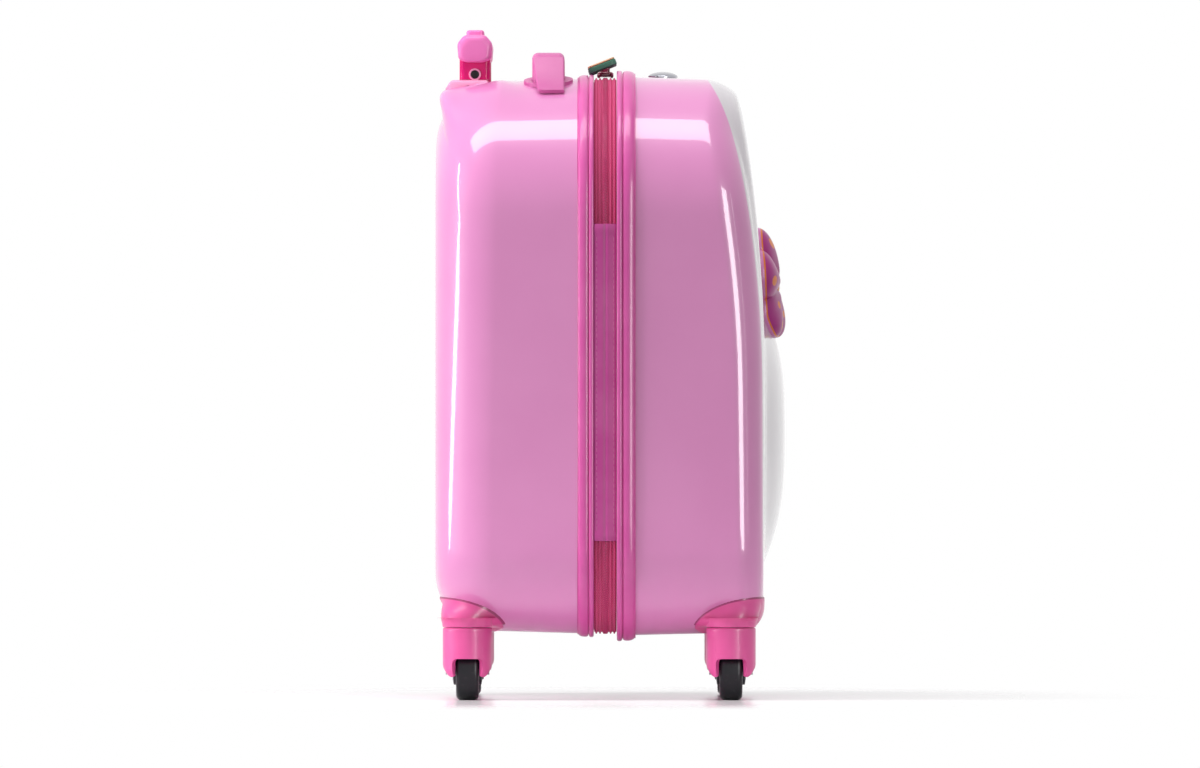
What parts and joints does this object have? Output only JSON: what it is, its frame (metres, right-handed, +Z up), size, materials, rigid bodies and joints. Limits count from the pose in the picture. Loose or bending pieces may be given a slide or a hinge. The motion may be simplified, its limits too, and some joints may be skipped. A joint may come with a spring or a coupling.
{
  "type": "kids suitcase",
  "caption": "Upright child's hard-shell spinner suitcase with a zipped lid, telescopic trolley handle, carry handle and swivelling corner casters.",
  "frame": {"origin": "on the floor, under the middle of the case's bounding box", "axes": "+X out of the lid's front, +Y across the width from the hinge side to the zip side, +Z up"},
  "size_m": [0.246, 0.3204, 0.47],
  "materials": {
    "shell": "high gloss",
    "rim": "satin",
    "zip": "woven",
    "slider": "gloss",
    "strip": "soft",
    "caster": "satin",
    "grip": "satin",
    "bezel": "satin",
    "handle": "satin",
    "pull": "soft",
    "lining": "woven",
    "webbing": "woven",
    "charcoal": "matte",
    "tyre": "matte",
    "tube": "brushed",
    "steel": "brushed"
  },
  "bodies": {
    "rear_case": {"rear_shell": "shell", "rear_rim": "rim", "rear_zip_tape": "zip", "hinge_strip": "strip", "trolley_foot": "charcoal", "trolley_bezel": "bezel", "rear_lining": "lining", "strap_buckle": "charcoal", "outer_tube_near": "tube", "carry_plate_near": "handle", "packing_strap_near": "webbing", "outer_tube_far": "tube", "carry_plate_far": "handle", "packing_strap_far": "webbing", "corner_housing_rear_near": "caster", "kingpin_rear_near": "steel", "corner_housing_rear_far": "caster", "kingpin_rear_far": "steel"},
    "lid": {"front_shell": "shell", "front_rim": "rim", "front_zip_tape": "zip", "front_lining": "lining", "lid_pocket": "lining", "corner_housing_front_near": "caster", "kingpin_front_near": "steel", "corner_housing_front_far": "caster", "kingpin_front_far": "steel"},
    "trolley_middle": {"mid_tube_near": "tube", "mid_tube_far": "tube"},
    "trolley_handle": {"trolley_grip": "grip", "inner_tube_near": "tube", "lock_pin_near": "charcoal", "inner_tube_far": "tube", "lock_pin_far": "charcoal"},
    "release_button": {"release_button": "grip"},
    "carry_handle": {"carry_handle": "handle"},
    "zip_slider_near": {"zip_slider_near": "slider"},
    "zip_pull_near": {"zip_pull_near": "pull"},
    "zip_slider_far": {"zip_slider_far": "slider"},
    "zip_pull_far": {"zip_pull_far": "pull"},
    "fork_rear_near": {"fork_rear_near": "caster", "axle_rear_near": "steel"},
    "wheel_rear_near": {"hub_rear_near": "charcoal", "tyre_rear_near": "tyre"},
    "fork_rear_far": {"fork_rear_far": "caster", "axle_rear_far": "steel"},
    "wheel_rear_far": {"hub_rear_far": "charcoal", "tyre_rear_far": "tyre"},
    "fork_front_near": {"fork_front_near": "caster", "axle_front_near": "steel"},
    "wheel_front_near": {"hub_front_near": "charcoal", "tyre_front_near": "tyre"},
    "fork_front_far": {"fork_front_far": "caster", "axle_front_far": "steel"},
    "wheel_front_far": {"hub_front_far": "charcoal", "tyre_front_far": "tyre"}
  },
  "joints": [
    {"name": "lid_hinge", "type": "hinge", "parent": "rear_case", "child": "lid", "pos_m": [-0.00385, -0.1608, 0.2412], "axis": [0, 0, -1], "range_deg": [0, 180], "deforming": ["hinge_strip"]},
    {"name": "trolley_lower_stage", "type": "slide", "parent": "rear_case", "child": "trolley_middle", "axis": [0, 0, 1], "range_m": [0, 0.18]},
    {"name": "trolley_upper_stage", "type": "slide", "parent": "trolley_middle", "child": "trolley_handle", "axis": [0, 0, 1], "range_m": [0, 0.18]},
    {"name": "release_button_press", "type": "slide", "parent": "trolley_handle", "child": "release_button", "axis": [0, 0, -1], "range_m": [0, 0.0035], "stiffness_N_per_m": 600, "springref_m": -0.002},
    {"name": "carry_handle_lift", "type": "slide", "parent": "rear_case", "child": "carry_handle", "axis": [0, 0, 1], "range_m": [0, 0.008]},
    {"name": "zip_slider_near_run", "type": "slide", "parent": "rear_case", "child": "zip_slider_near", "axis": [0, -1, 0], "range_m": [0, 0.04]},
    {"name": "zip_pull_near_swing", "type": "hinge", "parent": "zip_slider_near", "child": "zip_pull_near", "pos_m": [-0.00385, -0.0105, 0.44225], "axis": [-1, 0, 0], "range_deg": [0, 95]},
    {"name": "zip_slider_far_run", "type": "slide", "parent": "rear_case", "child": "zip_slider_far", "axis": [0, 1, 0], "range_m": [0, 0.04]},
    {"name": "zip_pull_far_swing", "type": "hinge", "parent": "zip_slider_far", "child": "zip_pull_far", "pos_m": [-0.00385, 0.0105, 0.44225], "axis": [1, 0, 0], "range_deg": [0, 95]},
    {"name": "swivel_rear_near", "type": "hinge", "parent": "rear_case", "child": "fork_rear_near", "pos_m": [-0.10015, -0.125, 0.051], "axis": [0, 0, 1], "continuous": true},
    {"name": "wheel_spin_rear_near", "type": "hinge", "parent": "fork_rear_near", "child": "wheel_rear_near", "pos_m": [-0.10015, -0.118, 0.0197], "axis": [1, 0, 0], "continuous": true},
    {"name": "swivel_rear_far", "type": "hinge", "parent": "rear_case", "child": "fork_rear_far", "pos_m": [-0.10015, 0.125, 0.051], "axis": [0, 0, 1], "continuous": true},
    {"name": "wheel_spin_rear_far", "type": "hinge", "parent": "fork_rear_far", "child": "wheel_rear_far", "pos_m": [-0.10015, 0.132, 0.0197], "axis": [1, 0, 0], "continuous": true},
    {"name": "swivel_front_near", "type": "hinge", "parent": "lid", "child": "fork_front_near", "pos_m": [0.08395, -0.125, 0.051], "axis": [0, 0, 1], "continuous": true},
    {"name": "wheel_spin_front_near", "type": "hinge", "parent": "fork_front_near", "child": "wheel_front_near", "pos_m": [0.08395, -0.118, 0.0197], "axis": [1, 0, 0], "continuous": true},
    {"name": "swivel_front_far", "type": "hinge", "parent": "lid", "child": "fork_front_far", "pos_m": [0.08395, 0.125, 0.051], "axis": [0, 0, 1], "continuous": true},
    {"name": "wheel_spin_front_far", "type": "hinge", "parent": "fork_front_far", "child": "wheel_front_far", "pos_m": [0.08395, 0.132, 0.0197], "axis": [1, 0, 0], "continuous": true}
  ]
}
